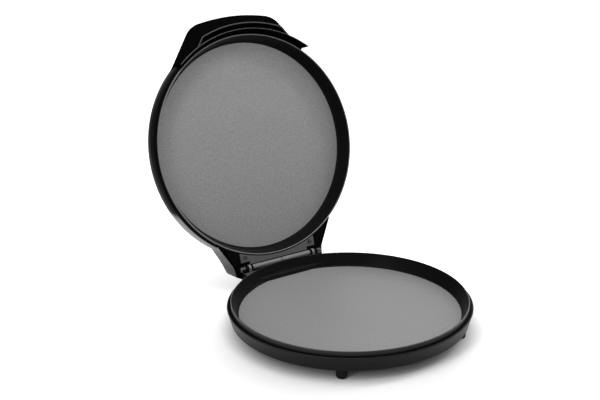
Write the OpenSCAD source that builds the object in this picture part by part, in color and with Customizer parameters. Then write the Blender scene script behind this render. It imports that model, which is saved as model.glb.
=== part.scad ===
// Electric pizza maker: a shallow round base and a hinged lid, each with a
// non-stick baking pan and a tubular heating element behind it.
// Millimetres, +Z up, origin on the worktop under the middle of the base,
// hinge to the rear (+Y), handle to the front (-Y). Lid pieces are drawn
// closed and then swung open about the hinge rod.

/* [Pans] */
// Outer radius of both baking pans at the rim
pan_r = 155; // [145:1:165]
// Thickness of the cast pan walls and floors
pan_t = 1.8; // [1.5:0.1:2.2]
// Depth of the lower pan
lower_depth = 18; // [16:0.5:19]
// Depth of the upper pan
upper_depth = 21; // [18:0.5:22]
// How far the pan walls lean in from rim to floor
pan_lean = 6; // [4:0.5:9]
// Radius of the round corner between pan wall and floor
pan_corner_r = 3; // [2:0.5:5]

/* [Base] */
// Height of the ledge of the base housing above the worktop
ledge_z = 32.5; // [32:0.5:36]
// Width of the ledge between pan rim and housing edge
ledge_w = 5; // [4:0.5:7]
// How far the lower pan rim stands above the ledge
pan_stand = 6.5; // [5:0.5:8]
// How far the base wall leans in from ledge to underside
base_lean = 4.5; // [2:0.5:6]
// Height of the four feet below the flat rim of the underside
foot_h = 12.5; // [11:0.5:13]
// Radius of a foot
foot_r = 7.5; // [6:0.5:9]
// Depth of the belly under the heating element
belly_drop = 5; // [4:0.5:6]
// Width of the flat rim round the belly that carries feet and posts
flat_rim = 22.5; // [21:0.5:25]
// Wall thickness of the moulded housings
shell_t = 2.2; // [1.8:0.1:2.6]

/* [Lid] */
// How far the upper pan rim stands below the edge of the lid housing
lid_stand = 3.5; // [3:0.5:6]
// Height over which the lid housing flares out from the pan
flare_h = 8; // [6:0.5:10]
// Height of the straight side wall of the lid housing
lid_wall_h = 7; // [6:0.5:10]
// Radius of the round shoulder of the lid housing
shoulder_r = 9; // [8:0.5:11]
// Rise of the lid top from its shoulder to its middle
crown_h = 12; // [11:0.5:16]
// Opening angle of the lid
open_angle = 107; // [95:1:110]

/* [Hinge] */
// Distance of the hinge line behind the pan rims
hinge_back = 11; // [10:0.5:14]
// Height of the hinge line above the worktop
hinge_z = 35; // [34.5:0.5:36]
// Radius of the steel hinge rod
rod_r = 2; // [1.5:0.1:2.4]
// Radius of the rolled hinge barrels
barrel_r = 3.5; // [3.2:0.1:4]
// Half the length of the barrel pair
barrel_half = 47; // [40:1:50]
// Half the inner distance between the lid arms
arm_in = 62; // [61:0.5:66]

/* [Handle] */
// Reach of the handle brow beyond the pan rims
brow_reach = 27.5; // [24:0.5:31]
// Half the width of the brow at its front corners
brow_half = 67.5; // [62:0.5:72]
// Angle each side of the middle that the grip spans
grip_angle = 39.5; // [37:0.5:41]
// How far the grip hangs in front of the base's edge
grip_drop = 3; // [1:0.5:5]

/* [Heating] */
// Radius of the heating element ring
element_r = 100; // [85:1:108]
// Radius of the element's metal sheath
sheath_r = 3.2; // [2.8:0.1:3.4]
// Half the distance between the element's two legs
leg_half = 16; // [12:1:22]

/* [Hidden] */

$fn = 96;
// running gap between pieces that nearly touch
gap = 0.3;
// radial clearance of the rod in its bores
rod_fit = 0.05;
// lead of a cut past the face that it opens
cut = 1;

// round edge between a housing's ledge and its wall
edge_r = 1.2;
// round edge under the base wall
under_r = 3;
// radius of the round lip on a pan rim
lip_r = pan_t / 2;

housing_r = pan_r + ledge_w;
belly_r = housing_r - base_lean - flat_rim - belly_drop;
pan_hole_r = pan_r + gap;
floor_r = pan_r - pan_t - pan_lean;

// heights in the base, from the worktop up
belly_z = foot_h - belly_drop;
rim_z = ledge_z + pan_stand;
lower_floor_z = rim_z - lower_depth;
lower_back_z = lower_floor_z - pan_t;

// heights in the closed lid
lid_rim_z = rim_z + 0.5;
lid_foot_z = lid_rim_z + lid_stand;
flare_z = lid_foot_z + flare_h;
shoulder_z = flare_z + lid_wall_h;
lid_edge_z = shoulder_z + shoulder_r;
lid_top_z = lid_edge_z + crown_h;
upper_floor_z = lid_rim_z + upper_depth;
upper_back_z = upper_floor_z + pan_t;

hinge_y = pan_r + hinge_back;

// sheet metal
sheet_t = 0.8;
// hair gap where a round face would otherwise just touch a flat one
hair = 0.1;
// radii of the two reflector dishes
lower_dish_r = belly_r - 8;
upper_dish_r = element_r + 3;

// screw posts that join a pan to its housing
post_r = 4.5;
post_ring = belly_r + belly_drop + 1;
post_angles = [45, 135, 225, 315];
screw_r = 1.6;
screw_head_r = 3.2;
screw_head_h = 2;

// clamps of the heating elements
clamp_angles = [-90, 30, 150];
clamp_w = 9;
clamp_tab = 8;

// rear box of the base, under the hinge
box_half = arm_in - 1.5;
box_back = hinge_y + 12;
box_front = pan_r - 55;
box_top = hinge_z - barrel_r - 4;
plate_t = 3;
knuckle_r = 4.6;
knuckle_in = barrel_half + 1.5;
knuckle_w = arm_in - 2.5 - knuckle_in;
cap_r = knuckle_r - 0.8;
cap_len = 7;
plate_screw_x = 0.64 * barrel_half;
plate_screw_grip = 7;
plate_screw_y = box_back - 5;
gland_x = 14 - box_half;
gland_z = (foot_h + box_top) / 2;
gland_r = 5;

// feet: front pair under the base wall, rear pair under the rear box
front_foot = (housing_r - base_lean - foot_r - 2.4) * [sin(39.7), -cos(39.7)];
rear_foot = [box_half - foot_r - 3, hinge_y + 2];
foot_spots = [for (spot = [front_foot, rear_foot], side = [-1, 1]) [side * spot[0], spot[1]]];
foot_pin_r = 2.5;
foot_pin_h = shell_t + 1.5;

// lid hinge bracket: a plate on the rear rim of the lid
bracket_z = lid_rim_z - 0.7;
bracket_t = 2.5;
bracket_screw = [arm_in - 8, pan_r - 4];
bracket_screw_grip = 6;
bridge_back = hinge_y - 2;

// lid arms
arm_bottom = lid_rim_z + 0.5;
arm_end = hinge_y + 15;

// handle: brim behind, ridge in front, slopes up to the brow's edge
brow_top = shoulder_z - 1;
brow_edge_z = shoulder_z - 4;
grip_bottom = ledge_z - grip_drop;
grip_top = flare_z - 3;
brim_in_r = housing_r + 0.8;
brim_r = brim_in_r + 1.2;
ridge_r = housing_r + 10;
side_r = pan_r + 2.2;
side_low = housing_r - 15;
grip_inset = 0.8;

// ---------------------------------------------------------------- helpers

// points of an arc about [x, y], from angle a to angle b in n steps
function arc(x, y, r, a, b, n = 6) =
    [for (i = [0:n]) let (t = a + (b - a) * i / n) [x + r * cos(t), y + r * sin(t)]];

// swings a piece of the closed lid to where the lid stands open
module swing_open() {
    translate([0, hinge_y, hinge_z])
        rotate([-open_angle, 0, 0])
            translate([0, -hinge_y, -hinge_z])
                children();
}

// puts copies on a ring of radius r at the given angles
module around(angles, r) {
    for (a = angles) rotate([0, 0, a]) translate([r, 0, 0]) children();
}

// a tube between two heights
module ring_wall(r_out, r_in, z0, z1) {
    translate([0, 0, z0])
        difference() {
            cylinder(r = r_out, h = z1 - z0);
            translate([0, 0, -cut]) cylinder(r = r_in, h = z1 - z0 + 2 * cut);
        }
}

// a screw standing on z = 0 with its head down and its shank up
module screw(shank, head_r = screw_head_r, head_h = screw_head_h, r = screw_r) {
    difference() {
        union() {
            cylinder(r = head_r, h = head_h);
            translate([0, 0, head_h - 0.1]) cylinder(r = r, h = shank + 0.1);
        }
        translate([0, 0, 0.5]) cube([head_r * 1.2, 0.8, 1.2], center = true);
        translate([0, 0, 0.5]) cube([0.8, head_r * 1.2, 1.2], center = true);
    }
}

// section of a pan with its rim at z = 0 and its floor at z = -depth
module pan_section(depth, skirt) {
    polygon(concat(
        [[0, -depth], [floor_r - pan_corner_r, -depth]],
        arc(floor_r - pan_corner_r, pan_corner_r - depth, pan_corner_r, -90, -16),
        arc(pan_r - lip_r, -lip_r, lip_r, 180, 0),
        [[pan_r, -skirt], [floor_r + pan_t, pan_corner_r - depth]],
        arc(floor_r - pan_corner_r, pan_corner_r - depth, pan_corner_r + pan_t, -30, -90),
        [[0, -depth - pan_t]]
    ));
}

// how far behind the middle the element's legs and their pins reach
leg_end = pan_r - 36;
pin_end = leg_end + 6;

// heating element: a ring with two legs bent out to the rear
module element() {
    bend_r = 12;
    bx = leg_half + bend_r;
    by = sqrt(pow(element_r + bend_r, 2) - bx * bx);
    half_open = atan(bx / by);
    rotate([0, 0, 90 + half_open])
        rotate_extrude(angle = 360 - 2 * half_open)
            translate([element_r, 0]) circle(r = sheath_r, $fn = 24);
    for (side = [0, 1]) mirror([side, 0, 0]) {
        translate([bx, by, 0]) rotate([0, 0, 180])
            rotate_extrude(angle = 90 - half_open)
                translate([bend_r, 0]) circle(r = sheath_r, $fn = 24);
        translate([leg_half, by, 0]) rotate([-90, 0, 0])
            cylinder(r = sheath_r, h = leg_end - by, $fn = 24);
        translate([leg_half, leg_end - 0.1, 0]) rotate([-90, 0, 0])
            cylinder(r = 0.9, h = pin_end - leg_end + 0.1, $fn = 16);
    }
}

// strap over the element, with a tab on the pan; drawn below a pan back at z = 0
module element_clamp() {
    drop = 2 * sheath_r + gap;
    wide = 2 * sheath_r + 2 * gap;
    translate([-wide / 2 - sheet_t, -clamp_w / 2, -drop - sheet_t])
        cube([wide + 2 * sheet_t, clamp_w, sheet_t]);
    for (x = [-wide / 2 - sheet_t, wide / 2])
        translate([x, -clamp_w / 2, -drop - sheet_t]) cube([sheet_t, clamp_w, drop + sheet_t]);
    difference() {
        translate([wide / 2, -clamp_w / 2, -sheet_t]) cube([clamp_tab + sheet_t, clamp_w, sheet_t]);
        translate([wide / 2 + sheet_t + clamp_tab / 2, 0, -sheet_t - cut])
            cylinder(r = screw_r, h = sheet_t + 2 * cut);
    }
}

// distance of a clamp's screw from the middle of the element
clamp_screw_off = sheath_r + gap + sheet_t + clamp_tab / 2;
// depth of a clamp's screw in the back of the pan
clamp_thread = pan_t - 0.6;

// ---------------------------------------------------------------- base

// outer profile of the base tub, from the ledge down to the middle
function tub_outline(t) = concat(
    arc(housing_r - edge_r, ledge_z - edge_r, edge_r - t / 2, 90, 0, 4),
    arc(housing_r - base_lean - under_r, foot_h + under_r, under_r - t, 0, -90, 5),
    [[belly_r + belly_drop, foot_h + t], [belly_r, belly_z + t], [0, belly_z + t]]
);

// plan of the rear box, drawn in by inset
module box_plan(inset) {
    corner = 6 - inset;
    x = box_half - inset - corner;
    y = box_back - inset - corner;
    polygon(concat(
        [[box_half - inset, box_front]],
        arc(x, y, corner, 0, 90),
        arc(-x, y, corner, 90, 180),
        [[-box_half + inset, box_front]]
    ));
}

module base_housing() {
    color("#2b2b2c")
    difference() {
        union() {
            difference() {
                union() {
                    rotate_extrude() polygon(concat([[0, ledge_z]], tub_outline(0)));
                    translate([0, 0, foot_h])
                        linear_extrude(box_top - foot_h) box_plan(0);
                }
                // inside of the tub, up to the underside of the ledge
                rotate_extrude() polygon(concat(
                    [[0, ledge_z - shell_t], [housing_r - edge_r - shell_t, ledge_z - shell_t]],
                    arc(housing_r - base_lean - under_r, foot_h + under_r, under_r - shell_t, 0, -90, 3),
                    [[belly_r + belly_drop - shell_t, foot_h + shell_t],
                     [belly_r - shell_t, belly_z + shell_t], [0, belly_z + shell_t]]
                ));
                translate([0, 0, ledge_z - shell_t - cut]) cylinder(r = pan_hole_r, h = shell_t + 2 * cut);
                // inside of the rear box, behind the tub wall
                difference() {
                    translate([0, 0, foot_h + shell_t])
                        linear_extrude(box_top - foot_h) box_plan(shell_t);
                    cylinder(r = housing_r, h = ledge_z + cut);
                }
            }
            around(post_angles, post_ring)
                translate([0, 0, foot_h + shell_t / 2]) cylinder(r = post_r, h = post_z - foot_h - shell_t / 2);
            for (x = [-plate_screw_x, plate_screw_x]) translate([x, plate_screw_y, foot_h + shell_t / 2])
                cylinder(r = post_r - 1, h = box_top - foot_h - shell_t / 2);
        }
        // way for the leads from the tub into the box
        translate([-leg_half - 8, hinge_y - 25, foot_h + shell_t]) cube([2 * leg_half + 16, 24, 8]);
        around(post_angles, post_ring) {
            cylinder(r = screw_r + 0.2, h = ledge_z);
            cylinder(r = screw_head_r + gap, h = foot_h + head_sink);
        }
        for (x = [-plate_screw_x, plate_screw_x]) translate([x, plate_screw_y, box_top - plate_screw_grip - 2]) cylinder(r = screw_r, h = plate_screw_grip + 3);
        for (spot = foot_spots) translate([spot[0], spot[1], foot_h - cut])
            cylinder(r = foot_pin_r + rod_fit, h = shell_t + 2 * cut);
        translate([gland_x, box_back - shell_t - cut, gland_z]) rotate([-90, 0, 0])
            cylinder(r = gland_r, h = shell_t + 2 * cut);
    }
}

// height at which a base post meets the boss of the lower pan
post_z = foot_h + 4.5;
// depth of a base screw's head in the underside
head_sink = 2.2;

module lower_baking_pan() {
    color("#3a3a3b")
    difference() {
        union() {
            translate([0, 0, rim_z]) rotate_extrude() pan_section(lower_depth, pan_stand + 3);
            around(post_angles, post_ring)
                translate([0, 0, post_z]) cylinder(r = post_r, h = lower_back_z - post_z + pan_t / 2);
        }
        around(post_angles, post_ring)
            translate([0, 0, post_z - cut]) cylinder(r = screw_r, h = lower_back_z - post_z + cut);
        around(clamp_angles, element_r + clamp_screw_off)
            translate([0, 0, lower_back_z - cut]) cylinder(r = screw_r, h = clamp_thread + cut);
        around([90], thermostat_ring)
            translate([0, 0, lower_back_z - cut]) cylinder(r = screw_r, h = clamp_thread + cut);
    }
}

module lower_heating_element() {
    color("#6f6f70") translate([0, 0, lower_back_z - sheath_r - hair]) element();
}

module lower_element_clamps() {
    color("#b9bbbd") around(clamp_angles, element_r)
        translate([0, 0, lower_back_z]) element_clamp();
}

module lower_clamp_screws() {
    color("#c8c8c8") around(clamp_angles, element_r + clamp_screw_off)
        translate([0, 0, lower_back_z - sheet_t - clamp_head_h])
            screw(sheet_t + clamp_thread, clamp_tab / 2 - gap, clamp_head_h, screw_r - rod_fit);
}

// head of the small screws behind the pans
clamp_head_h = 1.6;
// ring on which each thermostat's own screw sits
thermostat_ring = 60;

// dish of thin sheet with a turned-up rim, lying on z = 0
module dish(r, rim_h) {
    difference() {
        union() {
            cylinder(r = r, h = sheet_t);
            ring_wall(r, r - sheet_t, 0, rim_h);
        }
        translate([0, 0, -cut]) cylinder(r = 6, h = sheet_t + 2 * cut);
    }
}

module lower_reflector() {
    color("#c9cbcc") translate([0, 0, belly_z + shell_t]) dish(lower_dish_r, 2.4);
}

module base_screws() {
    color("#5a5a5a") around(post_angles, post_ring)
        translate([0, 0, foot_h + head_sink - screw_head_h])
            screw(lower_back_z - gap - foot_h - head_sink, r = screw_r - rod_fit);
}

module rubber_feet() {
    color("#151515") for (spot = foot_spots) translate([spot[0], spot[1], 0]) {
        rotate_extrude() polygon(concat(
            [[0, 0]], arc(foot_r - 3.5, 3, 3, -90, 0, 5), [[foot_r, foot_h], [0, foot_h]]
        ));
        translate([0, 0, foot_h - 0.1]) cylinder(r = foot_pin_r, h = foot_pin_h + 0.1);
    }
}

module cord_gland() {
    color("#1a1a1a") translate([gland_x, 0, gland_z]) rotate([-90, 0, 0]) difference() {
        union() {
            translate([0, 0, box_back]) cylinder(r = gland_r + 1.5, h = 2);
            translate([0, 0, box_back - shell_t]) cylinder(r = gland_r - rod_fit, h = shell_t + 0.1);
            translate([0, 0, box_back - shell_t - 1.6]) cylinder(r = gland_r - 0.6, h = 1.7);
        }
        translate([0, 0, box_back - shell_t - 1.6 - cut]) cylinder(r = gland_r - 1.6, h = 8);
    }
}

// thermostat can on a bracket, hanging from a pan back at z = 0
module bimetal_thermostat() {
    difference() {
        translate([-16, -7, -can_h]) cylinder(r = can_r, h = can_h);
        translate([-16, -7, -can_h - cut]) cylinder(r = 1.2, h = 1.4);
    }
    for (y = [-7 - can_r - 4.5, -7 + can_r - 1.5])
        translate([-16 - 3, y, -can_h + 1]) cube([6, 6, sheet_t]);
    difference() {
        translate([-10, -4, -sheet_t]) cube([14, 8, sheet_t]);
        translate([0, 0, -sheet_t - cut]) cylinder(r = screw_r, h = sheet_t + 2 * cut);
    }
    translate([0, 0, -sheet_t - clamp_head_h])
        screw(sheet_t + clamp_thread, 3, clamp_head_h, screw_r - rod_fit);
}

// size of the thermostat can
can_r = 8;
can_h = 5.5;

module thermostat() {
    color("#c9c3b4") around([90], thermostat_ring)
        translate([0, 0, lower_back_z]) bimetal_thermostat();
}

module thermal_fuse() {
    color("#cfc9b8") translate([-2 * leg_half, 0.4 * element_r, lower_back_z - fuse_r - hair]) rotate([0, 90, 0]) {
        cylinder(r = fuse_r, h = 20, $fn = 24);
        for (z = [-5, 20]) translate([0, 0, z - 0.1]) cylinder(r = 0.6, h = 5.1, $fn = 16);
    }
}

// radius of the fuse in its glass sleeve
fuse_r = 2.2;

module terminal_block() {
    color("#e6e2d8") difference() {
        translate([-block_half, hinge_y + 1, foot_h + shell_t]) cube([2 * block_half, 7, 8]);
        for (x = [-leg_half + 4, 0, leg_half - 4]) translate([x, hinge_y + 4.5, foot_h + shell_t + 4])
            cylinder(r = 1.7, h = 5);
    }
}

// half the width of the terminal block in the rear box
block_half = leg_half + 2;

// radius of an insulated lead
lead_r = 1.1;

module base_leads() {
    color("#c04030") for (side = [-1, 1])
        translate([side * leg_half, pin_end, lower_back_z - sheath_r - hair]) rotate([-90, 0, 0])
            cylinder(r = lead_r, h = hinge_y + 1 - pin_end, $fn = 24);
}

// ---------------------------------------------------------------- hinge

module knuckle() {
    rotate([90, 0, 90]) cylinder(r = knuckle_r, h = knuckle_w);
    translate([0, -knuckle_r, box_top + plate_t - hinge_z - 0.1])
        cube([knuckle_w, 2 * knuckle_r, hinge_z - box_top - plate_t + 0.1]);
}

module base_hinge_plate() {
    color("#39393a") difference() {
        union() {
            difference() {
                translate([0, 0, box_top]) linear_extrude(plate_t) box_plan(0);
                cylinder(r = housing_r + gap, h = ledge_z + 2 * cut);
            }
            for (x = [knuckle_in, -knuckle_in - knuckle_w]) translate([x, hinge_y, hinge_z]) knuckle();
            for (x = [4 - plate_screw_x, plate_screw_x - 4 - stop_w])
                translate([x, hinge_y + 8, box_top + plate_t - 0.1])
                    cube([stop_w, 3, stop_z - box_top - plate_t + 0.1]);
        }
        translate([-arm_in, hinge_y, hinge_z]) rotate([0, 90, 0])
            cylinder(r = rod_r + rod_fit, h = 2 * arm_in);
        for (x = [-plate_screw_x, plate_screw_x]) translate([x, plate_screw_y, box_top - cut])
            cylinder(r = screw_r + 0.2, h = plate_t + 2 * cut);
    }
}

// width and height of the ribs that the open lid leans on
stop_w = 12;
stop_z = hinge_z - 1.7;

module hinge_plate_screws() {
    color("#8a8a8a") for (x = [-plate_screw_x, plate_screw_x]) translate([x, plate_screw_y, box_top + plate_t + screw_head_h])
        mirror([0, 0, 1]) screw(plate_t + plate_screw_grip, r = screw_r - rod_fit);
}

// rod with a round cap pressed on each end, outside the knuckles
module hinge_rod() {
    half = knuckle_in + knuckle_w + gap;
    color("#1c1c1d") translate([0, hinge_y, hinge_z]) {
        translate([-half - 0.1, 0, 0]) rotate([0, 90, 0]) cylinder(r = rod_r, h = 2 * half + 0.2);
        for (side = [0, 1]) mirror([side, 0, 0]) translate([half, 0, 0]) rotate([0, 90, 0])
            rotate_extrude() polygon(concat(
                [[0, 0], [cap_r, 0]], arc(cap_r - 1.8, cap_len - 1.8, 1.8, 0, 90), [[0, cap_len]]
            ));
    }
}

// plan between the rear of the lid and a straight line, between the arms
module bridge_plan(r, half, back) {
    difference() {
        translate([-half, box_front]) square([2 * half, back - box_front]);
        circle(r = r);
    }
}

module lid_hinge_bracket() {
    color("#4a4a4b") swing_open() difference() {
        union() {
            difference() {
                translate([0, 0, bracket_z])
                    linear_extrude(bracket_t) bridge_plan(pan_r + 1.2, arm_in - 1, hinge_y - 1);
                // room for the knuckles at both ends
                for (side = [-1, 1]) translate([side * (arm_in + knuckle_in) / 2, hinge_y, hinge_z])
                    cube([arm_in - knuckle_in + 2, 2 * knuckle_r + 8, 30], center = true);
            }
            for (x = [-barrel_half, 0.7]) translate([x, hinge_y, hinge_z]) {
                rotate([0, 90, 0]) cylinder(r = barrel_r, h = barrel_half - 0.7);
                translate([0, -barrel_r, 0]) cube([barrel_half - 0.7, 2, bracket_z - hinge_z + 1]);
            }
        }
        translate([-arm_in, hinge_y, hinge_z]) rotate([0, 90, 0])
            cylinder(r = rod_r + rod_fit, h = 2 * arm_in);
        for (x = [-1, 1]) translate([x * bracket_screw[0], bracket_screw[1], bracket_z - cut])
            cylinder(r = screw_r + 0.2, h = bracket_t + 2 * cut);
    }
}

module lid_bracket_screws() {
    color("#777777") swing_open() for (x = [-1, 1])
        translate([x * bracket_screw[0], bracket_screw[1], bracket_z - screw_head_h])
            screw(bracket_t + bracket_screw_grip, 2.6, r = screw_r - rod_fit);
}

// ---------------------------------------------------------------- lid

// quadratic curve from a to c that leans to b
function bend(a, b, c, n = 5) =
    [for (i = [0:n]) let (t = i / n) (1 - t) * (1 - t) * a + 2 * t * (1 - t) * b + t * t * c];

// points of the lid top from its shoulder to its middle, lowered by t
function crown(t, n = 8) =
    [for (i = [0:n]) let (u = 1 - i / n)
        [(housing_r - shoulder_r) * u, lid_edge_z + crown_h * (1 - u * u) - t]];

// outer solid of the lid shell
module lid_body(grow = 0) {
    rotate_extrude() polygon(concat(
        [[0, lid_foot_z - grow], [pan_hole_r + grow, lid_foot_z - grow], [housing_r + grow, flare_z]],
        arc(housing_r - shoulder_r, shoulder_z, shoulder_r + grow, 0, 90),
        crown(-grow)
    ));
}

// room inside the lid shell
module lid_room() {
    rotate_extrude() polygon(concat(
        [[0, lid_foot_z + shell_t], [pan_hole_r + 0.5, lid_foot_z + shell_t],
         [housing_r - shell_t, flare_z + 1]],
        arc(housing_r - shoulder_r, shoulder_z, shoulder_r - shell_t, 0, 90),
        crown(shell_t)
    ));
    translate([0, 0, lid_foot_z - 3 * cut]) cylinder(r = pan_hole_r, h = shell_t + 4 * cut);
}

// plan of the left half of the brow: front arc, round corner, straight side into the housing
brow_arc_r = 290;
brow_front = pan_r + brow_reach;
function brow_y(x) = -brow_front + brow_arc_r - sqrt(brow_arc_r * brow_arc_r - x * x);
brow_corner = [-brow_half, brow_y(brow_half)];
brow_tangent = -atan(brow_half / -brow_corner[1]) - acos(side_r / norm(brow_corner));
brow_root = side_r * [sin(brow_tangent), -cos(brow_tangent)];
corner_run = 14;
brow_plan = concat(
    [[0, 55 - pan_r], 0.8 * brow_root, brow_root],
    bend(brow_corner + (brow_root - brow_corner) * corner_run / norm(brow_root - brow_corner),
         brow_corner, [-brow_half + corner_run, brow_y(brow_half - corner_run)]),
    [for (i = [4:-1:0]) let (x = (brow_half - corner_run) * i / 5) [-x, brow_y(x)]]
);

module brow_block(z0, z1, size = 1) {
    for (side = [0, 1]) mirror([side, 0, 0]) translate([0, 0, z0])
        linear_extrude(z1 - z0) polygon(size * brow_plan);
}

// brow between two heights, with its underside sloped up to the front and sides
module brow(z0, z1, inset = 0) {
    difference() {
        brow_block(z0, z1);
        rotate_extrude() polygon([
            [ridge_r, grip_bottom - cut], [ridge_r, grip_bottom + 0.5], [brow_front + 1.5, brow_edge_z],
            [brow_front + 20, brow_edge_z], [brow_front + 20, grip_bottom - cut]
        ]);
        for (side = [0, 1]) mirror([side, 0, 0]) rotate([0, 0, -90 - brow_tangent])
            translate([-inset, pan_r, 0]) rotate([90, 0, 0]) linear_extrude(2 * pan_r) polygon([
                [side_low, grip_bottom - cut], [side_low, grip_bottom], [side_r + hair, brow_top + hair],
                [housing_r + 40, brow_top + hair], [housing_r + 40, grip_bottom - cut]
            ]);
    }
}

// outline of the right arm, from its lower face (t = 0) to its upper face (t = 1)
function arm_outline(t) = [
    [arm_in, hinge_y - 40], [arm_in, arm_end - 3 * t],
    [arm_in + 10.5 + 3.5 * t, arm_end - 5.6 - 6 * t], [arm_in + 11 + 5 * t, arm_end - 15 - 2 * t],
    [arm_in + 13.8 + 5.2 * t, arm_end - 26], [arm_in + 17 + 6.5 * t, arm_end - 35.5],
    [arm_in + 21 + 6.3 * t, arm_end - 43.3], [arm_in + 26 + 5.5 * t, arm_end - 51.2],
    [arm_in + 31 + 6 * t, arm_end - 58.5], [arm_in + 13, arm_end - 73]
];

// the right arm: its outer side leans out from the lower face to the upper one
module arm(z0, z1) {
    n = len(arm_outline(0));
    polyhedron(
        points = [for (t = [0, 1], p = arm_outline(t)) [p[0], p[1], t == 0 ? z0 : z1]],
        faces = concat(
            [[for (i = [0:n - 1]) n - 1 - i], [for (i = [0:n - 1]) n + i]],
            [for (i = [0:n - 1]) [i, (i + 1) % n, n + (i + 1) % n]],
            [for (i = [0:n - 1]) [i, n + (i + 1) % n, n + i]]
        )
    );
}

module lid_housing() {
    color("#161617") swing_open() difference() {
        union() {
            lid_body();
            brow(grip_top, brow_top);
            for (side = [0, 1]) mirror([side, 0, 0]) arm(arm_bottom, shoulder_z + 1);
            translate([0, 0, bracket_z + bracket_t]) linear_extrude(shoulder_z - bracket_z - bracket_t)
                bridge_plan(pan_hole_r, arm_in + 1, bridge_back);
        }
        difference() {
            union() {
                lid_room();
                // hollow of the brow, in front of the housing wall
                difference() {
                    brow_block(grip_top - cut, brow_top - shell_t, 0.96);
                    cylinder(r = housing_r, h = lid_top_z);
                }
            }
            // studs for the spring clips of the pan
            around(post_angles, post_ring) translate([0, 0, upper_back_z + 0.6])
                cylinder(r = screw_r - rod_fit, h = lid_top_z);
        }
        translate([0, 0, bracket_z - cut]) cylinder(r = pan_hole_r, h = lid_foot_z - bracket_z + 2 * cut);
        for (x = [-1, 1]) translate([x * bracket_screw[0], bracket_screw[1], bracket_z])
            cylinder(r = screw_r, h = bracket_t + bracket_screw_grip + 1);
        grip_bores(pan_r - 2, screw_r + 0.2, housing_r + 8);
        grip_bores(pan_r - 2, screw_head_r, housing_r - shell_t);
        for (x = lens_x) translate([x, -lens_ring, upper_back_z + 1])
            cylinder(r = lens_r + gap, h = lid_top_z);
    }
}

// the two screws of the grip, driven outwards from inside the lid
grip_screw_angles = [-110, -70];
grip_screw_z = grip_top + 3.5;
grip_screw_head = 2.8;

module grip_bores(from_r, r, to_r) {
    around(grip_screw_angles, from_r) translate([0, 0, grip_screw_z]) rotate([0, 90, 0])
        cylinder(r = r, h = to_r - from_r);
}

module handle_grip() {
    color("#121213") swing_open() difference() {
        intersection() {
            union() {
                brow(grip_bottom, grip_top, grip_inset);
                ring_wall(brim_r, brim_in_r, grip_bottom, grip_top);
                around(grip_screw_angles, housing_r + gap)
                    translate([0, -post_r, grip_top - 0.1]) cube([9, 2 * post_r, brow_top - shell_t - grip_top - 0.2]);
            }
            rotate([0, 0, -90 - grip_angle]) rotate_extrude(angle = 2 * grip_angle)
                translate([pan_r + 2.8, 0]) square([60, lid_top_z]);
        }
        lid_body(gap);
        cylinder(r = brim_in_r, h = rim_z - 5);
        // groove for the fingertips, and the hollow above it, open to the brow
        rotate([0, 0, -90 - 22]) rotate_extrude(angle = 2 * 22)
            translate([brim_r, grip_bottom - cut]) square([ridge_r - brim_r - 1.5, cut + 6.5]);
        rotate([0, 0, -90 - 16]) rotate_extrude(angle = 2 * 16) polygon([
            [brim_r, grip_bottom + 9], [ridge_r + 1, grip_bottom + 9],
            [ridge_r + 6, grip_top + cut], [brim_r, grip_top + cut]
        ]);
        grip_bores(pan_r, screw_r, housing_r + 8);
    }
}

module handle_screws() {
    color("#777777") swing_open() around(grip_screw_angles, housing_r - shell_t - screw_head_h - hair)
        translate([0, 0, grip_screw_z]) rotate([0, 90, 0])
            screw(shell_t + 7, grip_screw_head, r = screw_r - rod_fit);
}

module upper_baking_pan() {
    color("#7a7a7a") swing_open() difference() {
        union() {
            translate([0, 0, lid_rim_z]) mirror([0, 0, 1]) rotate_extrude()
                pan_section(upper_depth, lid_stand + 3);
            around(post_angles, post_ring)
                translate([0, 0, upper_back_z - pan_t / 2]) cylinder(r = post_r, h = boss_h + pan_t / 2);
        }
        around(post_angles, post_ring) translate([0, 0, upper_back_z]) cylinder(r = screw_r, h = 5);
        around(clamp_angles, element_r + clamp_screw_off)
            translate([0, 0, upper_back_z - clamp_thread]) cylinder(r = screw_r, h = clamp_thread + cut);
        around([90], thermostat_ring)
            translate([0, 0, upper_back_z - clamp_thread]) cylinder(r = screw_r, h = clamp_thread + cut);
    }
}

// bosses on the back of the upper pan, and the spring clips on them
boss_h = 2.2;
clip_t = 0.6;

module pan_clips() {
    clip_z = upper_back_z + boss_h;
    color("#b0b0b0") swing_open() around(post_angles, post_ring)
        ring_wall(post_r - 0.5, screw_r, clip_z, clip_z + clip_t);
}

// draws a piece of the upper pan's back as if it hung under a pan back at z = 0
module on_upper_back() {
    swing_open() translate([0, 0, upper_back_z]) mirror([0, 0, 1]) children();
}

module upper_heating_element() {
    color("#6f6f70") on_upper_back() translate([0, 0, -sheath_r - hair]) element();
}

module upper_element_clamps() {
    color("#b9bbbd") on_upper_back() around(clamp_angles, element_r) element_clamp();
}

module upper_clamp_screws() {
    color("#c8c8c8") on_upper_back() around(clamp_angles, element_r + clamp_screw_off)
        translate([0, 0, -sheet_t - clamp_head_h])
            screw(sheet_t + clamp_thread, clamp_tab / 2 - gap, clamp_head_h, screw_r - rod_fit);
}

module upper_reflector() {
    z = upper_back_z + 2 * sheath_r + gap + sheet_t + gap;
    color("#c9cbcc") swing_open() translate([0, 0, z]) difference() {
        cylinder(r = upper_dish_r, h = sheet_t);
        translate([0, 0, -cut]) cylinder(r = 6, h = sheet_t + 2 * cut);
    }
}

module lid_thermostat() {
    color("#c9c3b4") on_upper_back() around([90], thermostat_ring) bimetal_thermostat();
}

// indicator lamps behind the front of the lid top
lens_x = [-9, 9];
lens_ring = pan_r - 37;
lens_r = 3;
lamp_h = 4.5;

// height of the lid top at a radius
function top_at(r) = lid_edge_z + crown_h * (1 - pow(r / (housing_r - shoulder_r), 2));

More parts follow.
